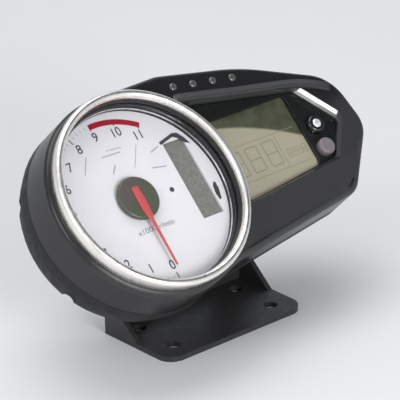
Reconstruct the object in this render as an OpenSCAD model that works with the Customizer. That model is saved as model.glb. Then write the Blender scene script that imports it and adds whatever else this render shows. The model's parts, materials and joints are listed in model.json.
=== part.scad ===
// Motorcycle instrument cluster on its meter stay: a round tachometer in a polished bezel,
// a liquid-crystal panel beside it, indicator lamps above and two buttons at the right.
// The row of names in NODES is the order in which the pieces are listed on a bench.
// Pieces are drawn in the face frame: x to the rider's right, y up the dial, z out of the
// dial towards the rider, with the dial's front at z = 0 and the bezel's centre at x = y = 0.

/* [Attitude] */
// Angle between the dial and the vertical, in degrees
recline = 45; // [40:1:50]
// Height of the bezel's centre above the underside of the stay
face_z = 76; // [74:1:90]
// Bezel centre ahead of the middle of the stay's foot
face_y = -3; // [-5:1:0]
// Bezel centre to the left of the middle of the stay's foot
face_x = -38; // [-42:1:-34]

/* [Case outline] */
// Radius of the case around the tachometer
case_r = 50.5; // [50:0.1:52]
// Distance from the bezel's centre to the centre of the right end's round
tip_x = 117.5; // [116:0.5:118.5]
// Radius of the right end's round
tip_r = 14.5; // [14:0.5:15]
// Height of the upper right round above the dial's middle
brow_y = 8; // [7:0.5:9]
// Height of the shoulder round beside the tachometer
shoulder_y = 34; // [32:0.5:36]
// Depth of the front surface ahead of the dial
front_z = 4; // [4:0.1:5]
// Depth at which the front and rear cases meet
parting_z = -16; // [-17:0.5:-15]
// Depth of the back of the rear case
back_z = -36; // [-38:0.5:-35]
// Thickness of the case walls
wall = 2.4; // [2:0.1:2.8]

/* [Tachometer] */
// Largest radius of the polished bezel
bezel_r = 49.1; // [48.8:0.1:49.4]
// Height of the bezel's crest above the dial
bezel_z = 12.2; // [11:0.1:13]
// Radius of the dial that shows
dial_view_r = 43.6; // [43:0.1:43.9]
// Offset of the needle's axis to the left of the bezel's centre
axis_offset = 4.5; // [4:0.1:5]
// Length of the needle from its axis to its tip
needle_l = 35.5; // [33:0.5:37]
// Radius of the dark cap at the needle's root
needle_cap_r = 10.6; // [9:0.1:12]
// Radius of the needle's steel spindle
spindle_r = 0.75; // [0.6:0.05:1]
// Radial clearance of the spindle in its bearing
spindle_gap = 0.05; // [0.02:0.01:0.09]

/* [Display] */
// Width of the display window
window_w = 49; // [46:0.5:49]
// Left edge of the display window
window_x = 51.5; // [51.5:0.5:53]
// Width of the bar display in the dial
bar_w = 12; // [11:0.5:13]
// Height of the bar display in the dial
bar_h = 39.5; // [36:0.5:41]

/* [Buttons and lamps] */
// Radius of a button's cap
button_r = 4.3; // [4:0.1:4.3]
// Travel of a button
button_travel = 1.2; // [0.6:0.1:1.2]
// Radius of an indicator lamp
lamp_r = 1.9; // [1.5:0.1:2]

/* [Stay] */
// Thickness of the stay's steel sheet
stay_t = 2.6; // [2:0.2:3]
// Width of the stay's foot
foot_w = 84; // [80:1:90]
// Depth of the stay's foot, front to back
foot_d = 46; // [44:1:50]
// Distance between the foot's bolt holes, left to right
foot_bolt_x = 60; // [56:1:64]
// Distance between the foot's bolt holes, front to back
foot_bolt_y = 24; // [20:1:28]
// Radius of the foot's bolt holes
foot_hole_r = 3.3; // [3.2:0.05:3.5]

/* [Hidden] */

$fn = 96;
eps = 0.01;
cut = 1;
// Turn between neighbouring points of a rounded outline
arc_step = 6;

// Case outline, counter-clockwise, as rounds [x, y, r]; a negative r is a hollow round
case_rounds = [
    [0, 0, case_r],
    [34, -68.5, -25],
    [104.5, -23, 11],
    [tip_x, -1, tip_r],
    [110, brow_y, 20.5],
    [45, -80, 127],
    [36, shoulder_y, 17]
];
// Recess that holds the display's cover lens
recess_rounds = [[52, -17.5, 4], [106, -11.5, 5], [117.5, 3, 4.5], [103.8, 16.6, 7], [48, 30, 4]];
// Window through the case for the display
window_rounds = [
    [window_x + 3, -16.2, 3],
    [window_x + window_w - 3.5, -11.5, 3.5],
    [window_x + window_w - 1.5, 21.2, 1.5],
    [window_x + 3, 19.7, 3]
];

// Depths of the front surfaces
recess_floor_z = -0.5;
recess_floor_t = 1.8;
recess_flare = 1.4;
recess_flare_z = 1.2;
basin_z = recess_floor_z - recess_floor_t;
front_under_z = front_z - wall;
recess_clear_r = case_r - 0.3;
tach_stack_r = 48.2;

// Bezel: spigot in the case, rebate for the lens, funnel down to the lens
bezel_base_r = 48;
bezel_spigot_in = 47;
bezel_spigot_out = 47.7;
bezel_spigot_h = 1.4;
bezel_lip_r = 44.5;
lens_r = 46.5;
lens_z = 5;
lens_t = 1.6;
lens_gap = 0.2;
bezel_funnel_r = 45.2;
bezel_bead_r = 1.9;

// Groove that frames the front surface, clear of the bezel
frame_groove_out = 3;
frame_groove_in = 3.8;
frame_groove_h = 1.1;
frame_groove_clear_r = 50;

// Tachometer stack under the lens
case_opening_r = 46;
surround_out_r = 45.8;
surround_flange_r = 47.6;
surround_flange_t = 1.4;
surround_top_z = 1.7;
trim_in_r = 43.7;
trim_out_r = 44.4;
light_box_in_r = 40.4;
light_box_out_r = 42.6;
light_box_flange_z = -4.05;
dial_r = 47.4;
dial_t = 1;
guide_t = 2.2;
guide_z = -1.1 - guide_t;
axis_hole_r = 4;
bar_x = axis_offset + 19.5;
bar_y = -19.2;
bar_margin = 1.2;
bar_lcd_t = 1.4;

// Needle
needle_z = 3.4;
needle_t = 0.9;
needle_root_w = 5.4;
needle_tip_w = 1.2;
needle_tail = 5;
cap_z = 1.2;
cap_edge_t = 1.1;
cap_hub_r = 3;
cap_hub_z = 0.5;
spindle_foot_z = -10.6;

// Motor on the board's front
motor_w = 30;
motor_h = 26;
motor_top_z = -3.7;
motor_ear_r = 4.5;

// Board
board_z = -12;
board_t = 1.6;
board_inset = 3.2;

// Display stack
display_lens_t = 1.5;
lcd_z = -4.6;
lcd_t = 2.2;
lcd_box = [50.6, -21.2, 101.1, 25.4];
backlight_box = [53, -17, 99, 22];
backlight_z = -8;
backlight_t = 3.2;
frame_rim = 1;
strip_d = 2.2;

// Buttons, as centres in the face frame
upper_button_at = [107.6, 3.6];
lower_button_at = [106.8, -8.2];
button_gap = 0.3;
button_top_z = 2.8;
button_skirt_z = -3.8;
button_tab_l = 11;
button_tab_w = 3;
button_tab_t = 1.3;
button_stem_r = 2;
button_foot_z = -6.2;
switch_w = 6;
switch_h = 3.3;
switch_plunger_r = 1.7;
boot_wall = 1;
boot_top_z = -5.3;
boot_gap = 0.2;

// Indicator lamps in a row that follows the brow
lamp_count = 4;
first_lamp_at = [42.7, 43.1];
lamp_pitch = [11, -1.75];
lamp_proud = 0.6;
pipe_r = 1.5;
pipe_foot_z = -10.5;
led_size = [3, 2.6, 1.2];

// Brow above the display
brow_rise = 2;
brow_depth = 5;
brow_from = [46, 34];
brow_to = [112, 20.8];

// Screws that join the two cases: [x, y, top of boss]
case_screws_at = [
    [-40.2, 23.2, -4.2], [-40.2, -23.2, -4.2], [8.1, -45.7, -4.2], [28, 45.2, front_under_z + eps],
    [108, 25.3, front_under_z + eps], [119.3, -2, basin_z + eps], [86, -27.6, front_under_z + eps]
];
boss_r = 3.2;
boss_gap = 0.4;
web_w = 4.6;
screw_r = 1.5;
pilot_r = 1.55;
screw_head_r = 3;
screw_head_t = 2.2;
screw_seat_z = parting_z - 3;
screw_top_z = -6.6;
pillar_r = 4.8;
counterbore_r = 3.4;

// Screws that hold the board to the front case
board_screws_at = [[-22.2, 39.8], [-22.2, -39.8], [48, -33.5], [112.5, 14.5]];
board_boss_tops = [-4.2, -4.2, front_under_z + eps, basin_z + eps];
board_screw_l = 6;
board_head_r = 2.3;
board_head_t = 1.8;

// Gasket in the rear case's rim
gasket_in = 1.7;
gasket_out = 0.7;
gasket_h = 1.2;

// Connector
connector_at = [38, 26];
connector_w = 38;
connector_h = 15;
connector_wall = 1.6;
connector_mouth_z = -50;
connector_base_z = -26;
connector_base_t = 3;
pin_columns = 8;
pin_rows = 2;
pin_pitch_x = 4;
pin_pitch_y = 5;
pin_w = 0.8;
pin_tip_z = -39;
seal_wall = 2;

// Rubber mounts: [x, y] on the back of the rear case
mounts_at = [[-11, 21], [85, 15], [38, -0.5]];
mount_pad_r = 8.5;
mount_pad_t = 3;
insert_r = 4.5;
insert_l = 9;
bolt_r = 3;
bolt_gap = 0.06;
damper_r = 8;
damper_neck_r = 6.2;
damper_flange_t = 3.6;
collar_r = 4.2;
bolt_flange_r = 7.4;
bolt_flange_t = 1.6;
bolt_head_h = 5;
bolt_head_across = 10;
stay_z = back_z - mount_pad_t - damper_flange_t;
stay_hole_r = 6.3;

// Stay, worked out in the part's own frame
riser_y = 20;
gusset_h = 20;
gusset_d = 20;
foot_corner_r = 8;
riser_slot_w = 36;
riser_slot_r = 6;
arm_lug_r = 12;
fold_lap = 0.6;
stay_fold_y = (riser_y - face_y) / cos(recline) + (stay_z - stay_t) * tan(recline);
stay_fold_z = face_z + stay_fold_y * sin(recline) + (stay_z - stay_t) * cos(recline);

breather_at = [86, -10];
breather_r = 5;

// Direction of an outline's outer side along the tangent from round a to round b
function edge_normal(a, b) =
    atan2(b.y - a.y, b.x - a.x) - 90 + asin((a.z - b.z) / norm([b.x - a.x, b.y - a.y]));

// Turn along a round, positive on a full round and negative on a hollow one
function round_turn(from, to, r) =
    let (turn = (to - from) % 360)
    r > 0 ? (turn < 0 ? turn + 360 : turn) : (turn > 0 ? turn - 360 : turn);

// Points of the outline that wraps the rounds, moved inwards by inset
function outline(rounds, inset = 0) = [
    for (i = [0 : len(rounds) - 1])
        let (
            c = rounds[i],
            before = rounds[(i + len(rounds) - 1) % len(rounds)],
            after = rounds[(i + 1) % len(rounds)],
            start = edge_normal(before, c),
            turn = round_turn(start, edge_normal(c, after), c.z),
            steps = max(2, ceil(abs(turn) / arc_step))
        )
        for (k = [0 : steps])
            let (a = start + turn * k / steps)
            [c.x + (c.z - inset) * cos(a), c.y + (c.z - inset) * sin(a)]
];

// Closed solid through the outline at levels of [inset, z], from the lowest to the highest
module loft(rounds, levels) {
    count = len(outline(rounds));
    top = (len(levels) - 1) * count;
    points = [for (level = levels) for (p = outline(rounds, level[0])) [p.x, p.y, level[1]]];
    sides = [
        for (j = [0 : len(levels) - 2])
            for (i = [0 : count - 1])
                let (low = j * count, high = low + count, next = (i + 1) % count)
                [low + i, high + i, high + next, low + next]
    ];
    bottom_face = [for (i = [0 : count - 1]) i];
    top_face = [for (i = [count - 1 : -1 : 0]) top + i];
    polyhedron(points, concat([bottom_face], sides, [top_face]));
}

// Straight-sided plate between two depths
module plate(rounds, from_z, to_z, inset = 0) {
    translate([0, 0, from_z])
        linear_extrude(to_z - from_z)
            polygon(outline(rounds, inset));
}

module disc(at, from_z, to_z, r) {
    translate([at.x, at.y, from_z])
        cylinder(h = to_z - from_z, r = r);
}

module box_between(corners, from_z, to_z, grow = 0) {
    translate([corners[0] - grow, corners[1] - grow, from_z])
        cube([corners[2] - corners[0] + 2 * grow, corners[3] - corners[1] + 2 * grow, to_z - from_z]);
}

// Moves a piece from the face frame into the part's own frame
module place() {
    translate([face_x, face_y, face_z])
        rotate([recline, 0, 0])
            children();
}

module front_case() {
    edge = [[0, parting_z], [0, front_z - 2.4], [0.5, front_z - 1.1], [1.3, front_z - 0.3], [2.3, front_z]];
    cavity = [[wall, parting_z - cut], [wall, front_under_z - 1.2], [wall + 1.2, front_under_z]];
    color([0.06, 0.06, 0.065]) place() difference() {
        union() {
            difference() {
                loft(case_rounds, edge);
                loft(case_rounds, cavity);
            }
            // Basin under the display's lens
            difference() {
                plate(recess_rounds, basin_z, front_under_z + eps, -wall);
                disc([0, 0], parting_z, front_z, tach_stack_r);
            }
            brow();
            for (s = case_screws_at) disc(s, parting_z, s.z, boss_r);
            for (i = [0 : len(board_screws_at) - 1])
                disc(board_screws_at[i], board_z, board_boss_tops[i], boss_r);
            boss_webs();
        }
        // Recess for the lens, flared towards the front and stopping short of the bezel
        difference() {
            loft(recess_rounds, [
                [recess_flare, recess_floor_z],
                [recess_flare, recess_flare_z],
                [0, front_z],
                [0, bezel_z]
            ]);
            disc([0, 0], parting_z, bezel_z + cut, recess_clear_r);
        }
        // Groove that frames the front surface
        difference() {
            plate(case_rounds, front_z - frame_groove_h, front_z + cut, frame_groove_out);
            plate(case_rounds, parting_z, front_z + 2 * cut, frame_groove_in);
            disc([0, 0], parting_z, bezel_z, frame_groove_clear_r);
        }
        plate(window_rounds, parting_z, front_z);
        disc([0, 0], front_under_z - cut, bezel_z, case_opening_r);
        // Groove for the bezel's spigot
        translate([0, 0, front_z - bezel_spigot_h - 0.1])
            difference() {
                cylinder(h = bezel_spigot_h + cut, r = bezel_spigot_out + 0.1);
                cylinder(h = bezel_spigot_h + cut, r = bezel_spigot_in - 0.1);
            }
        for (at = [upper_button_at, lower_button_at])
            disc(at, basin_z - cut, front_z, button_r + button_gap);
        for (i = [0 : lamp_count - 1])
            disc(first_lamp_at + i * lamp_pitch, front_under_z - cut, front_z + brow_rise, lamp_r + 0.05);
        for (s = case_screws_at) disc(s, parting_z - cut, screw_top_z + 0.4, pilot_r);
        for (s = board_screws_at) disc(s, board_z - cut, board_z + board_screw_l, pilot_r);
        // Nothing reaches into the tachometer's stack
        disc([0, 0], -4.1, front_under_z, surround_flange_r + 0.15);
    }
}

// Raised ridge along the top of the display's recess
module brow() {
    hull() {
        for (at = [brow_from, brow_to]) {
            translate([at.x, at.y, front_z - 1])
                cube([0.5, brow_depth, 1]);
            translate([at.x, at.y, front_z - 1])
                cube([0.5, 1.2, 1 + brow_rise]);
        }
    }
}

// Short webs that join the outer bosses to the case's side
module boss_webs() {
    for (s = [case_screws_at[0], case_screws_at[1], case_screws_at[2]])
        boss_web(s, parting_z, s.z);
    for (s = [board_screws_at[0], board_screws_at[1]])
        boss_web(s, board_z, light_box_flange_z - 0.15);
}

// One web, from just outside the boss's pilot hole to the case's side
module boss_web(at, from_z, to_z) {
    start = norm([at.x, at.y]) + pilot_r + 0.35;
    rotate([0, 0, atan2(at.y, at.x)])
        translate([start, -web_w / 2, from_z])
            cube([case_r - wall + 1 - start, web_w, to_z - from_z]);
}

module rear_case() {
    shell = [[9, back_z], [5.2, back_z + 1.4], [3, back_z + 5], [0, parting_z - 6], [0, parting_z]];
    cavity = [
        [8 + wall, back_z + wall],
        [3 + wall, back_z + 5 + wall],
        [wall, parting_z - 6],
        [wall, parting_z + cut]
    ];
    color([0.075, 0.075, 0.08]) place() difference() {
        union() {
            difference() {
                loft(case_rounds, shell);
                loft(case_rounds, cavity);
            }
            intersection() {
                loft(case_rounds, shell);
                union() for (s = case_screws_at) disc(s, back_z, parting_z, pillar_r);
            }
            for (m = mounts_at) disc(m, back_z - mount_pad_t, back_z + insert_l, mount_pad_r);
        }
        difference() {
            plate(case_rounds, parting_z - gasket_h, parting_z + cut, gasket_out);
            plate(case_rounds, parting_z - gasket_h - cut, parting_z + 2 * cut, gasket_in);
        }
        for (s = case_screws_at) {
            disc(s, back_z - cut, parting_z + cut, pilot_r + 0.1);
            disc(s, back_z - cut, screw_seat_z, counterbore_r);
        }
        for (m = mounts_at) disc(m, back_z - mount_pad_t - cut, back_z - mount_pad_t + insert_l, insert_r);
        connector_block(back_z - cut, parting_z, seal_wall);
        disc(breather_at, back_z - cut, back_z + wall + cut, breather_r - 1);
    }
}

module case_gasket() {
    color([0.02, 0.02, 0.02]) place() difference() {
        plate(case_rounds, parting_z - gasket_h, parting_z, gasket_out);
        plate(case_rounds, parting_z - gasket_h - cut, parting_z + cut, gasket_in);
    }
}

// Cross-recess in a screw head, opening downwards
module cross_recess(at, z, w, depth) {
    for (turn = [0, 90])
        translate([at.x, at.y, z + depth / 2])
            rotate([0, 0, turn])
                cube([w, w / 4, depth + eps], center = true);
}

module case_screws() {
    color([0.62, 0.62, 0.64]) place() for (s = case_screws_at) difference() {
        union() {
            disc(s, screw_seat_z - screw_head_t, screw_seat_z, screw_head_r);
            disc(s, screw_seat_z - eps, screw_top_z, screw_r);
        }
        cross_recess(s, screw_seat_z - screw_head_t, 3.2, 1.2);
    }
}

module bezel_ring() {
    bead_c = [bezel_r - bezel_bead_r, bezel_z - bezel_bead_r];
    bead = [for (a = [0 : 15 : 165]) bead_c + bezel_bead_r * [cos(a), sin(a)]];
    color([0.86, 0.86, 0.87]) place() rotate_extrude($fn = 180) polygon(concat(
        [
            [bezel_spigot_in, front_z - bezel_spigot_h],
            [bezel_spigot_out, front_z - bezel_spigot_h],
            [bezel_spigot_out, front_z],
            [bezel_base_r, front_z],
            [bezel_r - 0.45, front_z + 2.4],
            [bezel_r - 0.08, front_z + 4.8]
        ],
        bead,
        [
            [bezel_funnel_r, bezel_z - 2.8],
            [bezel_lip_r, lens_z + lens_t + lens_gap + 0.5],
            [bezel_lip_r, lens_z + lens_t + lens_gap],
            [lens_r + lens_gap, lens_z + lens_t + lens_gap],
            [lens_r + lens_gap, front_z],
            [bezel_spigot_in, front_z]
        ]
    ));
}

module tach_lens() {
    color([0.85, 0.9, 0.92, 0.25]) place() disc([0, 0], lens_z, lens_z + lens_t, lens_r);
}

// Bright ring between the dial's black surround and the lens
module dial_trim_ring() {
    low = surround_top_z + 0.05;
    high = lens_z - 0.05;
    color([0.7, 0.69, 0.68]) place() rotate_extrude($fn = 180) polygon([
        [trim_in_r, low], [surround_out_r, low], [surround_out_r, high], [trim_out_r, high]
    ]);
}

module dial_surround() {
    color([0.03, 0.03, 0.03]) place() difference() {
        union() {
            disc([0, 0], 0.05, surround_top_z, surround_out_r);
            disc([0, 0], 0.05, surround_flange_t, surround_flange_r);
        }
        disc([0, 0], -cut, lens_z + cut, dial_view_r);
    }
}

module dial_face() {
    color([0.93, 0.93, 0.94]) place() difference() {
        disc([0, 0], -dial_t, 0, dial_r);
        disc([-axis_offset, 0], -dial_t - cut, cut, axis_hole_r);
        translate([bar_x, bar_y, -dial_t - cut])
            cube([bar_w, bar_h, dial_t + 2 * cut]);
    }
}

module dial_bar_lcd() {
    color([0.66, 0.68, 0.62]) place()
        translate([bar_x - bar_margin, bar_y - bar_margin, -dial_t - 0.05 - bar_lcd_t])
            cube([bar_w + 2 * bar_margin, bar_h + 2 * bar_margin, bar_lcd_t]);
}

module dial_light_guide() {
    color([0.9, 0.93, 0.95, 0.6]) place() difference() {
        disc([0, 0], guide_z, guide_z + guide_t, dial_r - 0.6);
        disc([-axis_offset, 0], guide_z - cut, 0, axis_hole_r);
        translate([bar_x - bar_margin - 0.2, bar_y - bar_margin - 0.2, guide_z - cut])
            cube([bar_w + 2 * bar_margin + 0.4, bar_h + 2 * bar_margin + 0.4, guide_t + 2 * cut]);
    }
}

// White box that carries the light guide above the board and keeps the light in
module dial_light_box() {
    top = guide_z - 0.05;
    color([0.95, 0.95, 0.93]) place() difference() {
        union() {
            disc([0, 0], board_z, top, light_box_out_r);
            disc([0, 0], light_box_flange_z, top, dial_r - 0.8);
        }
        disc([0, 0], board_z - cut, 0, light_box_in_r);
        for (s = board_screws_at) disc(s, board_z - cut, light_box_flange_z, boss_r + boss_gap);
    }
}

// Red pointer, straight down at rest
module needle() {
    color([0.85, 0.12, 0.12]) place() translate([-axis_offset, 0, needle_z]) difference() {
        linear_extrude(needle_t) polygon([
            [-needle_root_w / 2, needle_tail],
            [-needle_root_w / 2, -needle_root_w],
            [-needle_root_w / 4, -needle_cap_r - 1],
            [-needle_tip_w / 2, -needle_l],
            [needle_tip_w / 2, -needle_l],
            [needle_root_w / 4, -needle_cap_r - 1],
            [needle_root_w / 2, -needle_root_w],
            [needle_root_w / 2, needle_tail]
        ]);
        translate([0, 0, -eps])
            cylinder(h = 0.4, r = spindle_r + 0.01);
    }
}

module needle_cap() {
    color([0.2, 0.19, 0.17]) place() translate([-axis_offset, 0, 0]) difference() {
        rotate_extrude() polygon([
            [0, cap_hub_z], [cap_hub_r, cap_hub_z], [cap_hub_r, cap_z], [needle_cap_r, cap_z],
            [needle_cap_r, cap_z + cap_edge_t], [needle_cap_r - 0.7, needle_z - 0.5],
            [needle_cap_r - 1.9, needle_z - 0.05], [0, needle_z - 0.05]
        ]);
        translate([0, 0, -cut])
            cylinder(h = needle_z + 2 * cut, r = spindle_r + 0.01);
    }
}

module needle_spindle() {
    color([0.75, 0.75, 0.77]) place() disc([-axis_offset, 0], spindle_foot_z, needle_z + 0.3, spindle_r);
}

module needle_motor() {
    color([0.12, 0.12, 0.13]) place() translate([-axis_offset, 0, 0]) difference() {
        union() {
            translate([-motor_w / 2, -motor_h / 2, board_z])
                cube([motor_w, motor_h, motor_top_z - board_z - 1.5]);
            translate([0, 0, board_z])
                cylinder(h = motor_top_z - board_z, r = motor_h / 2 - 1);
            for (side = [-1, 1])
                translate([side * motor_w / 2, 0, board_z])
                    cylinder(h = 2, r = motor_ear_r);
        }
        translate([0, 0, spindle_foot_z - 0.4])
            cylinder(h = motor_top_z - spindle_foot_z + cut, r = spindle_r + spindle_gap);
    }
}

module display_lens() {
    color([0.6, 0.65, 0.62, 0.3]) place() difference() {
        plate(recess_rounds, recess_floor_z, recess_floor_z + display_lens_t, recess_flare + 0.15);
        disc([0, 0], recess_floor_z - cut, front_z, recess_clear_r + 0.15);
        for (at = [upper_button_at, lower_button_at])
            disc(at, recess_floor_z - cut, front_z, button_r + button_gap);
    }
}

module display_lcd() {
    color([0.68, 0.7, 0.62]) place() box_between(lcd_box, lcd_z, lcd_z + lcd_t);
}

module display_backlight() {
    color([0.92, 0.94, 0.92]) place() box_between(backlight_box, backlight_z, backlight_z + backlight_t);
}

module display_frame() {
    low = board_z;
    color([0.88, 0.88, 0.86]) place() difference() {
        box_between(lcd_box, low, lcd_z + lcd_t, frame_rim);
        box_between(lcd_box, lcd_z - 0.1, 0, 0.15);
        box_between(backlight_box, backlight_z - 0.1, 0, 0.15);
        box_between(backlight_box, low - cut, 0, -3);
        for (y = [lcd_box[1] + 0.6, lcd_box[3] - 0.6 - strip_d])
            translate([lcd_box[0] + 3, y - 0.1, low - cut])
                cube([lcd_box[2] - lcd_box[0] - 6, strip_d + 0.2, 20]);
    }
}

module display_contact_strips() {
    color([0.25, 0.25, 0.27]) place() for (y = [lcd_box[1] + 0.6, lcd_box[3] - 0.6 - strip_d])
        translate([lcd_box[0] + 3.2, y, board_z])
            cube([lcd_box[2] - lcd_box[0] - 6.4, strip_d, lcd_z - board_z]);
}

module indicator_lenses() {
    color([0.45, 0.46, 0.45]) place() for (i = [0 : lamp_count - 1])
        disc(first_lamp_at + i * lamp_pitch, front_under_z, front_z + lamp_proud, lamp_r);
}

module indicator_light_pipes() {
    color([0.9, 0.93, 0.95, 0.6]) place() for (i = [0 : lamp_count - 1])
        disc(first_lamp_at + i * lamp_pitch, pipe_foot_z, front_under_z, pipe_r);
}

// One button: domed cap, two tabs that stop under the panel, stem down to its switch
module button(at) {
    place() translate([at.x, at.y, 0]) {
        rotate_extrude() polygon([
            [0, button_foot_z], [button_stem_r, button_foot_z], [button_stem_r, button_skirt_z],
            [button_r, button_skirt_z], [button_r, button_top_z - 1],
            [button_r - 0.5, button_top_z - 0.4], [button_r - 1.6, button_top_z], [0, button_top_z]
        ]);
        translate([-button_tab_w / 2, -button_tab_l / 2, button_skirt_z])
            cube([button_tab_w, button_tab_l, button_tab_t]);
    }
}

module upper_button() {
    color([0.75, 0.75, 0.76]) button(upper_button_at);
}

module lower_button() {
    color([0.32, 0.31, 0.32]) button(lower_button_at);
}

// Rubber caps over the switches, each with a hole for the button's stem
module button_boots() {
    inner = switch_w / 2 + boot_gap;
    color([0.03, 0.03, 0.03]) place() for (at = [upper_button_at, lower_button_at]) difference() {
        box_between([at.x, at.y, at.x, at.y], board_z, boot_top_z, inner + boot_wall);
        box_between([at.x, at.y, at.x, at.y], board_z - cut, boot_top_z - boot_wall, inner);
        disc(at, board_z, 0, button_stem_r + button_gap);
    }
}

module button_switches() {
    plunger_top = button_foot_z - button_travel - 0.1;
    color([0.7, 0.7, 0.68]) place() for (at = [upper_button_at, lower_button_at]) {
        box_between([at.x, at.y, at.x, at.y], board_z, board_z + switch_h, switch_w / 2);
        disc(at, board_z + switch_h - 0.1, plunger_top, switch_plunger_r);
    }
}

module main_board() {
    color([0.05, 0.28, 0.14]) place() difference() {
        plate(case_rounds, board_z - board_t, board_z, board_inset);
        for (s = case_screws_at) disc(s, board_z - board_t - cut, board_z + cut, boss_r + boss_gap);
        for (s = [case_screws_at[0], case_screws_at[1], case_screws_at[2]])
            rotate([0, 0, atan2(s.y, s.x)])
                translate([norm([s.x, s.y]), -web_w / 2 - boss_gap, board_z - board_t - cut])
                    cube([10, web_w + 2 * boss_gap, board_t + 2 * cut]);
        for (s = board_screws_at) disc(s, board_z - board_t - cut, board_z + cut, pilot_r + 0.1);
        connector_pin_grid(board_z - board_t - cut, board_z + cut, 0.15);
    }
}

module board_leds() {
    color([0.95, 0.9, 0.6]) place() {
        for (a = [20 : 40 : 340])
            rotate([0, 0, a])
                translate([32, 0, board_z + led_size.z / 2])
                    cube(led_size, center = true);
        for (i = [0 : lamp_count - 1])
            translate([first_lamp_at.x + i * lamp_pitch.x, first_lamp_at.y + i * lamp_pitch.y,
                       board_z + led_size.z / 2])
                cube(led_size, center = true);
        for (x = [62, 77, 92])
            translate([x, 2, board_z + led_size.z / 2])
                cube(led_size, center = true);
    }
}

module board_chips() {
    under = board_z - board_t;
    color([0.08, 0.08, 0.09]) place() {
        translate([52, -18, under - 1.4]) cube([14, 14, 1.4]);
        translate([76, -12, under - 1.6]) cube([10, 6, 1.6]);
        translate([-24, -4, under - 1.6]) cube([6, 10, 1.6]);
        for (x = [0, 12]) disc([x, -24], under - 9, under, 3.6);
    }
}

module board_screws() {
    under = board_z - board_t;
    color([0.7, 0.7, 0.72]) place() for (s = board_screws_at) difference() {
        union() {
            disc(s, under - board_head_t, under, board_head_r);
            disc(s, under - eps, board_z + board_screw_l - 0.5, screw_r);
        }
        cross_recess(s, under - board_head_t, 2.8, 1);
    }
}

// Rectangular block on the connector's axis, grown sideways
module connector_block(from_z, to_z, grow = 0) {
    translate([
        connector_at.x - connector_w / 2 - grow,
        connector_at.y - connector_h / 2 - grow,
        from_z
    ])
        cube([connector_w + 2 * grow, connector_h + 2 * grow, to_z - from_z]);
}

module connector_pin_grid(from_z, to_z, grow = 0) {
    for (i = [0 : pin_columns - 1], j = [0 : pin_rows - 1])
        translate([
            connector_at.x + (i - (pin_columns - 1) / 2) * pin_pitch_x - pin_w / 2 - grow,
            connector_at.y + (j - (pin_rows - 1) / 2) * pin_pitch_y - pin_w / 2 - grow,
            from_z
        ])
            cube([pin_w + 2 * grow, pin_w + 2 * grow, to_z - from_z]);
}

module connector_housing() {
    under = board_z - board_t;
    color([0.1, 0.1, 0.11]) place() difference() {
        connector_block(connector_mouth_z, under);
        connector_block(connector_mouth_z - cut, connector_base_z, -connector_wall);
        connector_block(connector_base_z + connector_base_t, under + cut, -connector_wall);
        connector_pin_grid(connector_base_z - cut, connector_base_z + connector_base_t + cut, 0.02);
    }
}

module connector_pins() {
    color([0.8, 0.68, 0.35]) place() connector_pin_grid(pin_tip_z, board_z - 0.1);
}

module connector_seal() {
    color([0.2, 0.05, 0.04]) place() difference() {
        union() {
            connector_block(back_z - 1, back_z + wall + 1, seal_wall - 0.05);
            connector_block(back_z - 1, back_z - 0.02, seal_wall + 1);
        }
        connector_block(back_z - 2, back_z + wall + 2, 0.02);
    }
}

module breather_cap() {
    color([0.03, 0.03, 0.03]) place() difference() {
        union() {
            disc(breather_at, back_z - 2, back_z - 0.02, breather_r + 1.5);
            disc(breather_at, back_z - 1, back_z + wall + 1, breather_r - 1.1);
        }
        disc(breather_at, back_z - 3, back_z + wall + 2, 1);
    }
}

module mount_inserts() {
    color([0.78, 0.63, 0.32]) place() for (m = mounts_at) difference() {
        disc(m, back_z - mount_pad_t, back_z - mount_pad_t + insert_l - 0.1, insert_r - 0.02);
        disc(m, back_z - mount_pad_t - cut, back_z - mount_pad_t + insert_l, bolt_r + bolt_gap);
    }
}

// Rubber damper with a groove that holds the stay's hole
module mount_dampers() {
    top = back_z - mount_pad_t;
    color([0.03, 0.03, 0.03]) place() for (m = mounts_at) difference() {
        union() {
            disc(m, stay_z, top, damper_r);
            disc(m, stay_z - stay_t, stay_z, damper_neck_r);
            disc(m, stay_z - stay_t - damper_flange_t, stay_z - stay_t, damper_r);
        }
        disc(m, stay_z - stay_t - damper_flange_t - cut, top + cut, collar_r + 0.02);
    }
}

module mount_collars() {
    top = back_z - mount_pad_t;
    color([0.7, 0.7, 0.72]) place() for (m = mounts_at) difference() {
        disc(m, stay_z - stay_t - damper_flange_t, top, collar_r);
        disc(m, stay_z - stay_t - damper_flange_t - cut, top + cut, bolt_r + bolt_gap);
    }
}

module mount_bolts() {
    seat = stay_z - stay_t - damper_flange_t;
    top = back_z - mount_pad_t;
    color([0.55, 0.55, 0.57]) place() for (m = mounts_at) {
        disc(m, seat - eps, top + insert_l - 1, bolt_r);
        disc(m, seat - bolt_flange_t, seat, bolt_flange_r);
        translate([m.x, m.y, seat - bolt_flange_t - bolt_head_h])
            cylinder(h = bolt_head_h + eps, d = bolt_head_across / cos(30), $fn = 6);
    }
}

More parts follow.
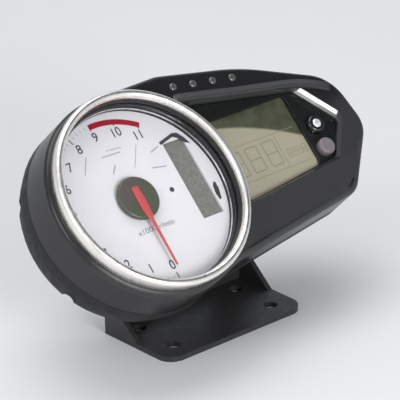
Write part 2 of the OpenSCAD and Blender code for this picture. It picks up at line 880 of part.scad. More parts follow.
// Sloping plate of the stay, parallel to the case's back, with an arm to each upper mount
module stay_plate() {
    left = mounts_at[0];
    right = mounts_at[1];
    middle = mounts_at[2];
    half = foot_w / 2;
    shoulder = arm_lug_r * cos(45);
    translate([0, 0, stay_z - stay_t]) difference() {
        union() {
            linear_extrude(stay_t) polygon([
                [1 - face_x - half, stay_fold_y + fold_lap],
                [-1 - face_x + half, stay_fold_y + fold_lap],
                [right.x + arm_lug_r, right.y - 2],
                [right.x + shoulder, right.y + shoulder],
                [right.x - shoulder, right.y + shoulder],
                [middle.x + 2 * arm_lug_r, middle.y + arm_lug_r],
                [middle.x - 2 * arm_lug_r, middle.y + arm_lug_r],
                [left.x + shoulder, left.y + shoulder],
                [left.x - shoulder, left.y + shoulder],
                [left.x - arm_lug_r, left.y - 2]
            ]);
            for (m = [left, right])
                translate([m.x, m.y, 0])
                    cylinder(h = stay_t, r = arm_lug_r);
        }
        for (m = mounts_at)
            translate([m.x, m.y, -cut])
                cylinder(h = stay_t + 2 * cut, r = stay_hole_r);
    }
}

// Triangular gusset between the foot and the riser, starting at x
module stay_gusset(x) {
    translate([x, riser_y, 0])
        rotate([90, 0, 90])
            linear_extrude(stay_t)
                polygon([[eps, 0], [eps, gusset_h], [-gusset_d, stay_t - eps], [-gusset_d, 0]]);
}

module meter_stay() {
    corner_x = foot_w / 2 - foot_corner_r;
    corner_y = foot_d / 2 - foot_corner_r;
    foot_rounds = [
        [-corner_x, -corner_y, foot_corner_r],
        [corner_x, -corner_y, foot_corner_r],
        [foot_w / 2 - 1, riser_y, 1],
        [1 - foot_w / 2, riser_y, 1]
    ];
    color([0.05, 0.05, 0.055]) difference() {
        union() {
            place() stay_plate();
            translate([-foot_w / 2, riser_y, 0])
                cube([foot_w, stay_t, stay_fold_z + stay_t + fold_lap]);
            plate(foot_rounds, 0, stay_t);
            for (x = [-foot_w / 2, foot_w / 2 - stay_t]) stay_gusset(x);
        }
        for (sx = [-1, 1], sy = [-1, 1])
            translate([sx * foot_bolt_x / 2, sy * foot_bolt_y / 2, -cut])
                cylinder(h = stay_t + 2 * cut, r = foot_hole_r);
        // Lightening slot in the riser
        for (x = [-riser_slot_w / 2, riser_slot_w / 2])
            translate([x, riser_y - cut, stay_fold_z / 2])
                rotate([-90, 0, 0])
                    cylinder(h = stay_t + 2 * cut, r = riser_slot_r);
        translate([-riser_slot_w / 2, riser_y - cut, stay_fold_z / 2 - riser_slot_r])
            cube([riser_slot_w, stay_t + 2 * cut, 2 * riser_slot_r]);
    }
}

front_case();
rear_case();
case_gasket();
case_screws();
bezel_ring();
tach_lens();
dial_trim_ring();
dial_surround();
dial_face();
dial_bar_lcd();
dial_light_guide();
dial_light_box();
needle();
needle_cap();
needle_spindle();
needle_motor();
display_lens();
display_lcd();
display_backlight();
display_frame();
display_contact_strips();
indicator_lenses();
indicator_light_pipes();
upper_button();
lower_button();
button_boots();
button_switches();
main_board();
board_leds();
board_chips();
board_screws();
connector_housing();
connector_pins();
connector_seal();
breather_cap();
mount_inserts();
mount_dampers();
mount_collars();
mount_bolts();
meter_stay();
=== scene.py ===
"""Looks of the motorcycle instrument cluster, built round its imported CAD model."""
import json
import math

import bmesh
import bpy
from mathutils import Matrix, Vector
from mathutils.geometry import delaunay_2d_cdt


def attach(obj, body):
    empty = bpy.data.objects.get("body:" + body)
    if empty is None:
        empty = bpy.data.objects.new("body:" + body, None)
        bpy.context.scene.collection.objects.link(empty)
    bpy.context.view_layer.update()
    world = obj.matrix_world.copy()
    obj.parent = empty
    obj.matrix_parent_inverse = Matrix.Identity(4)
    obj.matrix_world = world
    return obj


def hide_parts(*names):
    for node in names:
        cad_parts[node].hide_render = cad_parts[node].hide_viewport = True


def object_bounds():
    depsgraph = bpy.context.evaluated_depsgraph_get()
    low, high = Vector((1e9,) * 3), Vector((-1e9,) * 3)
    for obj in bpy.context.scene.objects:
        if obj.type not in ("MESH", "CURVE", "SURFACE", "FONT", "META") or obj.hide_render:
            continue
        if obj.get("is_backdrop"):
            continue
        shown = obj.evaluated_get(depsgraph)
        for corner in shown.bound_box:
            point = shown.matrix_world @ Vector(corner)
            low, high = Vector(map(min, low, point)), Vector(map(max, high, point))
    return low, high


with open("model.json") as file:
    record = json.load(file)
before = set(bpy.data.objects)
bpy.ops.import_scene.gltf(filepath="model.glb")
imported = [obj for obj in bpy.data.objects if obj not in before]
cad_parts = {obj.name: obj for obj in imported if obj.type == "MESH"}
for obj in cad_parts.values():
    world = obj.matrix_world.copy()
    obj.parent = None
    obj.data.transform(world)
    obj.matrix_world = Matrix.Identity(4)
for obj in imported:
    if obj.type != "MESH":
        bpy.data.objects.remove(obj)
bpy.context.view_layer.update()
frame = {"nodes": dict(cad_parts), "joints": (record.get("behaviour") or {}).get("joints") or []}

# ---------------------------------------------------------------- face frame, in millimetres
# x to the rider's right, y up the dial, z out of the dial; the bezel's centre is x = y = 0.
MM = 0.001
AXIS_OFFSET = 4.5  # the needle's axis lies this far left of the bezel's centre
sweep = next(j for j in frame["joints"] if j["name"] == "needle_sweep")
RIGHT = Vector((1, 0, 0))
OUT = -Vector(sweep["axis"]).normalized()
UP = OUT.cross(RIGHT)
CENTRE = Vector(sweep["pos_m"]) + RIGHT * AXIS_OFFSET * MM
FACE = Matrix.Translation(CENTRE) @ Matrix((RIGHT, UP, OUT)).transposed().to_4x4() @ Matrix.Scale(MM, 4)
CLUSTER = "cluster"

# ---------------------------------------------------------------- sizes, as in the CAD source
CASE_R = 50.5
CASE_ROUNDS = [
    (0, 0, CASE_R), (34, -68.5, -25), (104.5, -23, 11), (117.5, -1, 14.5), (110, 8, 20.5), (45, -80, 127),
    (36, 34, 17),
]
RECESS_ROUNDS = [(52, -17.5, 4), (106, -11.5, 5), (117.5, 3, 4.5), (103.8, 16.6, 7), (48, 30, 4)]
# The recess's bevel is wider at the upper right, so its foot follows rounds of its own
RECESS_FOOT_ROUNDS = [(52, -17.5, 4), (106, -11.5, 5), (116.5, 1.7, 4.5), (101.3, 17.2, 7), (48, 30, 4)]
WINDOW_X, WINDOW_RIGHT = 51.5, 100.5
WINDOW_ROUNDS = [
    (WINDOW_X + 3, -16.2, 3), (WINDOW_RIGHT - 3.5, -11.5, 3.5),
    (WINDOW_RIGHT - 1.5, 21.2, 1.5), (WINDOW_X + 3, 19.7, 3),
]
FRONT_Z, WALL, PARTING_Z = 4.0, 2.4, -16.0
FLOOR_Z, FLOOR_T, FLOOR_INSET = -0.5, 1.8, 1.4
OPENING_R = 46.0
RECESS_CLEAR_R = 50.2
EDGE_R = 2.4
GROOVE_OUT, GROOVE_IN, GROOVE_H = 2.9, 4.3, 1.1
SILL_FROM, SILL_TURN, SILL_FALL = (50, -22.0), math.radians(5.2), 0.14
UPPER_BUTTON, LOWER_BUTTON = (107.6, 3.6), (106.8, -8.2)
BUTTON_R, BUTTON_GAP = 4.3, 0.3
LAMP_FIRST, LAMP_PITCH, LAMP_COUNT, LAMP_R = (42.7, 43.1), (11, -1.75), 4, 1.9
BEZEL_R, BEZEL_TOP, BEAD_R = 49.1, 12.2, 1.9
LENS_Z, LENS_T, LENS_R = 5.0, 1.6, 46.5
UNDER_Z = 0.2  # underside of the front case's face
COVER_LOW, COVER_TOP = FLOOR_Z + 0.02, 1.0
LCD_PRINT = (-2.39, -2.37)  # bottom and top of the segments on the panel
BOARD_Z, BOSS_R, PILOT_R = -12.0, 3.2, 1.55
# Screw posts inside the front case: x, y and the height of the top
CASE_POSTS = [
    (-40.2, 23.2, -4.2), (-40.2, -23.2, -4.2), (8.1, -45.7, -4.2), (28, 45.2, 0.3), (108, 25.3, 0.3),
    (119.3, -2, -2.2), (86, -27.6, 0.3),
]
BOARD_POSTS = [(-22.2, 39.8, -4.2), (-22.2, -39.8, -4.2), (48, -33.5, 0.3), (112.5, 14.5, -2.2)]
SWEEP_STEP = 19.47  # degrees between two numbers on the dial
SCALE_R = 40.5


def lamp_at(i):
    return (LAMP_FIRST[0] + i * LAMP_PITCH[0], LAMP_FIRST[1] + i * LAMP_PITCH[1])


# ---------------------------------------------------------------- materials
class Nodes:
    """A material's node tree, with short ways to add to it."""

    def __init__(self, name):
        self.material = bpy.data.materials.new(name)
        self.material.use_nodes = True
        self.tree = self.material.node_tree
        self.shader = self.tree.nodes["Principled BSDF"]
        self.coords = self.tree.nodes.new("ShaderNodeTexCoord").outputs["Object"]

    def link(self, a, b):
        self.tree.links.new(a, b)

    def noise(self, per_metre, detail=3.0, stretch=None):
        """A noise pattern with so many features a metre, stretched along an axis if asked."""
        tex = self.tree.nodes.new("ShaderNodeTexNoise")
        tex.inputs["Scale"].default_value = per_metre
        tex.inputs["Detail"].default_value = detail
        source = self.coords
        if stretch:
            mapping = self.tree.nodes.new("ShaderNodeMapping")
            mapping.inputs["Scale"].default_value = stretch
            self.link(self.coords, mapping.inputs["Vector"])
            source = mapping.outputs["Vector"]
        self.link(source, tex.inputs["Vector"])
        return tex.outputs["Fac"]

    def ramp(self, source, stops):
        """Colours at positions along source."""
        node = self.tree.nodes.new("ShaderNodeValToRGB")
        elements = node.color_ramp.elements
        while len(elements) < len(stops):
            elements.new(0.5)
        for element, (position, colour) in zip(elements, stops):
            element.position = position
            element.color = (*colour, 1)
        self.link(source, node.inputs["Fac"])
        return node.outputs["Color"]

    def spread(self, source, low, high):
        """source's middle range mapped to low..high."""
        node = self.tree.nodes.new("ShaderNodeMapRange")
        node.inputs["From Min"].default_value = 0.3
        node.inputs["From Max"].default_value = 0.7
        node.inputs["To Min"].default_value = low
        node.inputs["To Max"].default_value = high
        self.link(source, node.inputs["Value"])
        return node.outputs["Result"]

    def place(self):
        """Outputs of the place in the face frame: x, y and z in millimetres."""
        turn = self.tree.nodes.new("ShaderNodeMapping")
        turn.vector_type = "TEXTURE"
        turn.inputs["Location"].default_value = CENTRE
        turn.inputs["Rotation"].default_value = FACE.to_euler()
        turn.inputs["Scale"].default_value = (MM, MM, MM)
        self.link(self.coords, turn.inputs["Vector"])
        split = self.tree.nodes.new("ShaderNodeSeparateXYZ")
        self.link(turn.outputs["Vector"], split.inputs["Vector"])
        return [split.outputs[axis] for axis in "XYZ"]

    def times_plus(self, a, k, c):
        """a times k plus c; k and c are numbers or outputs."""
        node = self.tree.nodes.new("ShaderNodeMath")
        node.operation = "MULTIPLY_ADD"
        self.link(a, node.inputs[0])
        for socket, value in zip(node.inputs[1:], (k, c)):
            if isinstance(value, float):
                socket.default_value = value
            else:
                self.link(value, socket)
        return node.outputs["Value"]

    def rise(self, source, low, high):
        """A soft step from 0 where source is low to 1 where it is high."""
        node = self.tree.nodes.new("ShaderNodeMapRange")
        node.interpolation_type = "SMOOTHSTEP"
        node.inputs["From Min"].default_value = low
        node.inputs["From Max"].default_value = high
        self.link(source, node.inputs["Value"])
        return node.outputs["Result"]

    def mix(self, factor, one, two):
        """Colour one where factor is 0, colour two where it is 1."""
        node = self.tree.nodes.new("ShaderNodeMix")
        node.data_type = "RGBA"
        self.link(factor, node.inputs["Factor"])
        self.link(one, node.inputs[6])
        self.link(two, node.inputs[7])
        return node.outputs[2]

    def bump(self, source, depth_mm):
        """Makes the surface uneven by source, up to depth_mm."""
        node = self.tree.nodes.new("ShaderNodeBump")
        node.inputs["Distance"].default_value = depth_mm * MM
        self.link(source, node.inputs["Height"])
        self.link(node.outputs["Normal"], self.shader.inputs["Normal"])


def scaled(colour, k):
    return tuple(min(1.0, c * k) for c in colour)


def finish_of(name, colour, rough, metallic=0.0, mottle=0.08, patch=90, grain=1800, depth=0.012,
              stretch=None, coat=0.0, specular=0.5, sheen=0.0, other=None):
    """A solid finish: patches of slightly different colour, uneven gloss and a fine grain."""
    n = Nodes(name)
    patches = n.noise(patch)
    fine = n.noise(grain, detail=4, stretch=stretch)
    n.link(n.ramp(patches, [(0.3, scaled(colour, 1 - mottle)), (0.7, other or scaled(colour, 1 + mottle))]),
           n.shader.inputs["Base Color"])
    n.link(n.spread(n.noise(patch * 3, stretch=stretch), rough * 0.85, rough * 1.15),
           n.shader.inputs["Roughness"])
    n.bump(fine, depth)
    n.shader.inputs["Metallic"].default_value = metallic
    n.shader.inputs["Coat Weight"].default_value = coat
    n.shader.inputs["Coat Roughness"].default_value = 0.08
    n.shader.inputs["Specular IOR Level"].default_value = specular
    n.shader.inputs["Sheen Weight"].default_value = sheen
    return n.material


def clear_finish(name, tint, rough, patch=120):
    """Thin clear plastic: what is behind shows through, and the fronts of its faces mirror a little."""
    n = Nodes(name)
    tree = n.tree
    tree.nodes.remove(n.shader)
    glossy = tree.nodes.new("ShaderNodeBsdfGlossy")
    through = tree.nodes.new("ShaderNodeBsdfTransparent")
    fresnel = tree.nodes.new("ShaderNodeFresnel")
    mix = tree.nodes.new("ShaderNodeMixShader")
    fresnel.inputs["IOR"].default_value = 1.42
    n.link(n.spread(n.noise(patch), rough * 0.7, rough * 1.3), glossy.inputs["Roughness"])
    n.link(n.ramp(n.noise(patch / 3), [(0.3, scaled(tint, 0.985)), (0.7, tint)]), through.inputs["Color"])
    behind = tree.nodes.new("ShaderNodeNewGeometry").outputs["Backfacing"]
    n.link(n.times_plus(fresnel.outputs["Fac"], n.times_plus(behind, -1.0, 1.0), 0.0), mix.inputs["Fac"])
    n.link(through.outputs["BSDF"], mix.inputs[1])
    n.link(glossy.outputs["BSDF"], mix.inputs[2])
    n.link(mix.outputs["Shader"], tree.nodes["Material Output"].inputs["Surface"])
    return n.material


def screen_finish(name, pale, dark):
    """A liquid-crystal panel: pale, with painted shade in darker green along its upper edge."""
    n = Nodes(name)
    x, y, _ = n.place()
    # height above a curve that falls to the right, where the painted shade starts
    above = n.times_plus(x, n.times_plus(x, 0.0044, -0.295), y)
    cells = n.ramp(n.noise(2600, detail=2), [(0.35, scaled(pale, 0.95)), (0.65, scaled(pale, 1.04))])
    # painted shade: the darker green that stands for the brow's shadow on the panel
    painted_shade = n.ramp(n.noise(160), [(0.35, scaled(dark, 0.8)), (0.65, scaled(dark, 1.25))])
    n.link(n.mix(n.rise(above, 15.6, 17.4), cells, painted_shade), n.shader.inputs["Base Color"])
    n.link(n.spread(n.noise(300), 0.3, 0.4), n.shader.inputs["Roughness"])
    return n.material


def front_finish(name, dark, painted_lit_grey):
    """The front moulding: black above, with painted light that makes it dark grey below and at its right end.
    """
    n = Nodes(name)
    x, y, z = n.place()
    # depth below a line that rises to the right, and nearness to the front
    low = n.rise(n.times_plus(x, -0.2, y), -8.0, -20.0)
    near = n.rise(z, -0.5, 1.2)
    # where the painted light lies: low on the face and near the front
    painted_light_mask = n.times_plus(low, near, 0.0)
    patches = n.noise(90)
    above = n.ramp(patches, [(0.3, scaled(dark, 0.92)), (0.7, scaled(dark, 1.08))])
    # painted light: the lighter grey that stands for light falling on the sill
    below = n.ramp(patches, [(0.3, scaled(painted_lit_grey, 0.95)), (0.7, scaled(painted_lit_grey, 1.05))])
    n.link(n.mix(painted_light_mask, above, below), n.shader.inputs["Base Color"])
    n.link(n.times_plus(painted_light_mask, 0.12, n.spread(n.noise(270), 0.27, 0.33)), n.shader.inputs["Roughness"])
    n.bump(n.noise(2600, detail=4), 0.006)
    return n.material


# the second colour is painted light on the sill and at the right end
CASE = front_finish("case_black", (0.009, 0.009, 0.01), (0.022, 0.022, 0.023))
CASE_BEVEL = finish_of("case_bevel", (0.012, 0.012, 0.013), 0.11, mottle=0.05, depth=0.0006, specular=0.95)
# the brow: a satin finish, and its grey, lighter than the case's black, is partly painted light on the ridge
BROW = finish_of("case_brow", (0.03, 0.03, 0.031), 0.36, grain=2600, depth=0.006)
CASE_REAR = finish_of("case_black_rough", (0.012, 0.012, 0.013), 0.62, grain=1500, depth=0.03, specular=0.35)
RUBBER = finish_of("rubber_black", (0.02, 0.02, 0.021), 0.75, grain=1200, depth=0.02, sheen=0.1)
ZINC = finish_of("zinc_steel", (0.62, 0.62, 0.64), 0.32, metallic=1, mottle=0.12, patch=260, depth=0.004)
BEZEL = finish_of("polished_bezel", (0.98, 0.94, 0.89), 0.3, metallic=1, mottle=0.03, grain=4000,
                  depth=0.0006)
FUNNEL = finish_of("bezel_funnel", (0.5, 0.44, 0.4), 0.25, metallic=1, mottle=0.08, grain=4000, depth=0.001)
TRIM = finish_of("satin_trim", (0.78, 0.78, 0.8), 0.28, metallic=1, mottle=0.05, depth=0.002)
DIAL_BLACK = finish_of("dial_black", (0.012, 0.012, 0.013), 0.5, depth=0.004)
DIAL_WHITE = finish_of("dial_white", (0.7, 0.685, 0.71), 0.42, mottle=0.015, grain=5000, depth=0.002)
PRINT_DARK = finish_of("print_dark", (0.05, 0.05, 0.06), 0.45, mottle=0.1, depth=0.002)
PRINT_GREY = finish_of("print_grey", (0.24, 0.23, 0.26), 0.45, mottle=0.1, depth=0.002)
FAINT_GREY = finish_of("dial_faint_grey", (0.37, 0.36, 0.4), 0.45, mottle=0.05, depth=0.002)
PRINT_RED = finish_of("print_red", (0.36, 0.006, 0.02), 0.4, mottle=0.08, depth=0.002)
BAR_LCD = finish_of("bar_lcd_grey", (0.19, 0.185, 0.17), 0.4, mottle=0.22, patch=900, grain=4200, depth=0.004)
# the second colour is painted shade along the panel's upper edge
SCREEN = screen_finish("lcd_grey", (0.41, 0.362, 0.285), (0.078, 0.08, 0.052))
SEGMENT = finish_of("lcd_segment", (0.25, 0.225, 0.175), 0.35, mottle=0.06, depth=0.001)
NEEDLE_RED = finish_of("needle_red", (0.5, 0.075, 0.075), 0.4, mottle=0.06, coat=0.2, depth=0.003)
CAP = finish_of("cap_dark", (0.115, 0.085, 0.095), 0.36, patch=90, depth=0.004, other=(0.065, 0.09, 0.045))
SPINDLE = finish_of("spindle_steel", (0.7, 0.7, 0.72), 0.25, metallic=1, depth=0.002)
MOTOR = finish_of("motor_plastic", (0.07, 0.07, 0.075), 0.5)
GUIDE = finish_of("light_guide", (0.82, 0.85, 0.86), 0.15, mottle=0.02, coat=0.5, depth=0.002)
WHITE = finish_of("white_plastic", (0.82, 0.82, 0.8), 0.5, mottle=0.03)
ZEBRA = finish_of("zebra_rubber", (0.16, 0.16, 0.18), 0.6, grain=900, stretch=(14, 1, 1), depth=0.05)
LAMP = finish_of("lamp_lens", (0.05, 0.055, 0.05), 0.14, mottle=0.2, patch=500, coat=0.8, depth=0.004)
BUTTON_DARK = finish_of("button_cap", (0.012, 0.012, 0.014), 0.2, coat=0.5, depth=0.002)
# near white: a silver coating, and also painted highlight for the upper button's bright spot
BUTTON_BRIGHT = finish_of("button_bright", (0.95, 0.95, 0.96), 0.16, metallic=0.6, mottle=0.02, depth=0.001)
BUTTON_GREY = finish_of("button_grey", (0.16, 0.135, 0.15), 0.42, grain=2200, depth=0.01)
SWITCH = finish_of("switch_plastic", (0.5, 0.5, 0.48), 0.5)
BOARD = finish_of("board_green", (0.02, 0.16, 0.06), 0.3, mottle=0.15, patch=400, coat=0.3, depth=0.02)
LED = finish_of("led_yellow", (0.85, 0.75, 0.4), 0.4)
CHIP = finish_of("chip_black", (0.03, 0.03, 0.033), 0.55)
SOCKET = finish_of("connector_plastic", (0.035, 0.035, 0.037), 0.45, depth=0.015)
CONTACT = finish_of("contact_tin", (0.8, 0.68, 0.4), 0.28, metallic=1)
SEAL = finish_of("seal_rubber", (0.2, 0.035, 0.025), 0.6, sheen=0.1)
INSERT = finish_of("insert_brass", (0.78, 0.58, 0.26), 0.35, metallic=1, grain=700, depth=0.05)
BOLT = finish_of("bolt_steel", (0.3, 0.3, 0.31), 0.38, metallic=1, mottle=0.15, patch=220, depth=0.01)
STAY = finish_of("stay_black", (0.02, 0.02, 0.021), 0.42, grain=900, depth=0.03)
COVER = clear_finish("clear_lens", (0.985, 0.99, 0.99), 0.03)
DARK_COVER = clear_finish("clear_lens_panel", (0.93, 0.95, 0.93), 0.05)
FLOOR = finish_of("pale_floor", (0.72, 0.72, 0.72), 0.7, mottle=0.004, patch=6, grain=300, depth=0.003)

NODE_FINISH = {
    "rear_case": CASE_REAR, "case_gasket": RUBBER, "case_screws": ZINC, "dial_surround": DIAL_BLACK,
    "dial_face": DIAL_WHITE, "dial_bar_lcd": BAR_LCD, "dial_light_guide": GUIDE, "dial_light_box": WHITE,
    "needle_spindle": SPINDLE, "needle_motor": MOTOR, "display_lcd": SCREEN, "display_backlight": GUIDE,
    "display_frame": WHITE, "display_contact_strips": ZEBRA, "indicator_light_pipes": GUIDE,
    "button_boots": RUBBER, "button_switches": SWITCH, "main_board": BOARD, "board_leds": LED,
    "board_chips": CHIP, "board_screws": ZINC, "connector_housing": SOCKET, "connector_pins": CONTACT,
    "connector_seal": SEAL, "breather_cap": RUBBER, "mount_inserts": INSERT, "mount_dampers": RUBBER,
    "mount_collars": ZINC, "mount_bolts": BOLT, "meter_stay": STAY,
}


# ---------------------------------------------------------------- mesh helpers
def edge_normal(a, b):
    """Direction of an outline's outer side along the tangent from round a to round b."""
    dx, dy = b[0] - a[0], b[1] - a[1]
    return math.atan2(dy, dx) - math.pi / 2 + math.asin((a[2] - b[2]) / math.hypot(dx, dy))


def outline(rounds, inset=0.0):
    """Points of the outline that wraps the rounds, counter-clockwise, moved inwards by inset."""
    points = []
    for i, (cx, cy, r) in enumerate(rounds):
        start = edge_normal(rounds[i - 1], rounds[i])
        turn = (edge_normal(rounds[i], rounds[(i + 1) % len(rounds)]) - start) % (2 * math.pi)
        if r < 0 and turn > 0:
            turn -= 2 * math.pi
        steps = int(min(90, max(14, abs(r) * 1.8)))
        for k in range(steps + 1):
            a = start + turn * k / steps
            points.append((cx + (r - inset) * math.cos(a), cy + (r - inset) * math.sin(a)))
    return points


def circle(at, r, steps=48):
    return [(at[0] + r * math.cos(2 * math.pi * k / steps), at[1] + r * math.sin(2 * math.pi * k / steps))
            for k in range(steps)]


def round_the_ring(points, ring_r, arc_steps=40):
    """An outline whose left side gives way to the round of radius ring_r about the bezel's centre."""
    top, low = points[-1], points[0]  # the left side runs down from top to low
    dx, dy = low[0] - top[0], low[1] - top[1]
    a, b, c = dx * dx + dy * dy, 2 * (top[0] * dx + top[1] * dy), top[0] ** 2 + top[1] ** 2 - ring_r ** 2
    root = math.sqrt(b * b - 4 * a * c)
    meets = ((-b - root) / (2 * a), (root - b) / (2 * a))
    start, end = [math.atan2(top[1] + dy * t, top[0] + dx * t) for t in meets]
    turns = [start + (end - start) * k / arc_steps for k in range(arc_steps + 1)]
    return points + [(ring_r * math.cos(t), ring_r * math.sin(t)) for t in turns]


def loop(bm, points, z):
    """Closed row of vertices, at one height or at a height that follows the place."""
    return [bm.verts.new((x, y, z(x, y) if callable(z) else z)) for x, y in points]


def bridge(bm, one, two):
    for i in range(len(one)):
        j = (i + 1) % len(one)
        bm.faces.new((one[i], one[j], two[j], two[i]))


def tower(bm, points_at, levels):
    """Loops through levels of (inset, z), joined into a wall; returns the loops."""
    loops = [loop(bm, points_at(inset), z) for inset, z in levels]
    for low, high in zip(loops, loops[1:]):
        bridge(bm, low, high)
    return loops


def within(x, y, loops):
    """Whether a place is inside the loops taken together, holes left out."""
    inside = False
    for verts in loops:
        for i, v in enumerate(verts):
            a, b = verts[i - 1].co, v.co
            if (a.y > y) != (b.y > y) and x < a.x + (y - a.y) * (b.x - a.x) / (b.y - a.y):
                inside = not inside
    return inside


def fill(bm, loops, extra=(), height=None):
    """Triangles through nested loops, the inner ones being holes, and through extra points."""
    rims = [v for verts in loops for v in verts]
    extra = [p for p in extra if within(*p, loops)]
    edges, first = [], 0
    for verts in loops:
        edges += [(first + i, first + (i + 1) % len(verts)) for i in range(len(verts))]
        first += len(verts)
    points = [v.co.xy for v in rims] + [Vector(p) for p in extra]
    corners = rims + [bm.verts.new((x, y, height(x, y))) for x, y in extra]
    made = delaunay_2d_cdt(points, edges, [], 0, 1e-6)
    for face in made[2]:
        verts = [corners[made[3][i][0]] for i in face]
        if within(sum(v.co.x for v in verts) / 3, sum(v.co.y for v in verts) / 3, loops):
            bm.faces.new(verts)


def dome(r, z, height, angles):
    """Points up a dome's profile, at angles in degrees from its foot."""
    turns = [math.radians(a) for a in angles]
    return [(r * math.cos(a), z + height * math.sin(a)) for a in turns]


def arc(cx, cy, r, start, end, steps):
    """Points on an arc in a profile, by angles in degrees."""
    return [(cx + r * math.cos(math.radians(start + (end - start) * k / steps)),
             cy + r * math.sin(math.radians(start + (end - start) * k / steps))) for k in range(steps + 1)]


def lathe(bm, profile, at=(0, 0), steps=192):
    """Closed profile of (r, z) turned about the line through at."""
    rows = []
    for k in range(steps):
        c, s = math.cos(2 * math.pi * k / steps), math.sin(2 * math.pi * k / steps)
        rows.append([bm.verts.new((at[0] + r * c, at[1] + r * s, z)) for r, z in profile])
    for k in range(steps):
        one, two = rows[k], rows[(k + 1) % steps]
        for i in range(len(profile)):
            j = (i + 1) % len(profile)
            bm.faces.new((one[i], two[i], two[j], one[j]))
    bmesh.ops.remove_doubles(bm, verts=bm.verts, dist=1e-4)


def slab(bm, points, low, high):
    """Straight-sided plate with any outline."""
    bottom, top = loop(bm, points, low), loop(bm, points, high)
    bridge(bm, bottom, top)
    bm.faces.new(reversed(bottom))
    bm.faces.new(top)


def stroke(bm, p, q, width, low, high):
    """Straight printed line from p to q."""
    along = (Vector(q) - Vector(p)).normalized()
    side = Vector((-along.y, along.x)) * width / 2
    slab(bm, [tuple(Vector(p) - side), tuple(Vector(q) - side), tuple(Vector(q) + side),
              tuple(Vector(p) + side)], low, high)


def piece(name, bm, finish, body=CLUSTER, replaces=(), sharp=35, matrix=FACE):
    """Makes a piece of the object from bm, which is in the face frame."""
    bmesh.ops.recalc_face_normals(bm, faces=bm.faces)
    for f in bm.faces:
        f.smooth = True
    for e in bm.edges:
        e.smooth = len(e.link_faces) == 2 and e.calc_face_angle(0) < math.radians(sharp)
    mesh = bpy.data.meshes.new(name)
    bm.to_mesh(mesh)
    bm.free()
    mesh.transform(matrix)
    for m in finish if isinstance(finish, list) else [finish]:
        mesh.materials.append(m)
    ob = bpy.data.objects.new(name, mesh)
    bpy.context.scene.collection.objects.link(ob)
    even = ob.modifiers.new("even_normals", "WEIGHTED_NORMAL")
    even.keep_sharp = True
    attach(ob, body)
    if replaces:
        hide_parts(*replaces)
    return ob


# ---------------------------------------------------------------- case
def front_z(x, y):
    """The front surface: flat, and tilted below a crease from the bezel to the right end."""
    below = (x - SILL_FROM[0]) * math.sin(SILL_TURN) - (y - SILL_FROM[1]) * math.cos(SILL_TURN)
    reach = min(1.0, max(0.0, (math.hypot(x, y) - 49.5) / 9))
    return FRONT_Z - SILL_FALL * max(0.0, below) * reach * reach * (3 - 2 * reach)


def under_front(depth):
    return lambda x, y: front_z(x, y) - depth


def recess_edge(t):
    """Edge of the recess, from the bevel's foot at t = 0 to the front surface at t = 1."""
    foot = outline(RECESS_FOOT_ROUNDS, FLOOR_INSET)
    front = outline(RECESS_ROUNDS)
    mixed = [(a[0] + (b[0] - a[0]) * t, a[1] + (b[1] - a[1]) * t) for a, b in zip(foot, front)]
    return round_the_ring(mixed, RECESS_CLEAR_R)


def groove_edge(grow):
    """Long slot that follows the case's lower right edge."""
    run = [i for i, (x, y) in enumerate(outline(CASE_ROUNDS)) if x > 41 and y < -14]
    outer, inner = outline(CASE_ROUNDS, GROOVE_OUT - grow), outline(CASE_ROUNDS, GROOVE_IN + grow)
    return [outer[i] for i in run] + [inner[i] for i in reversed(run)]


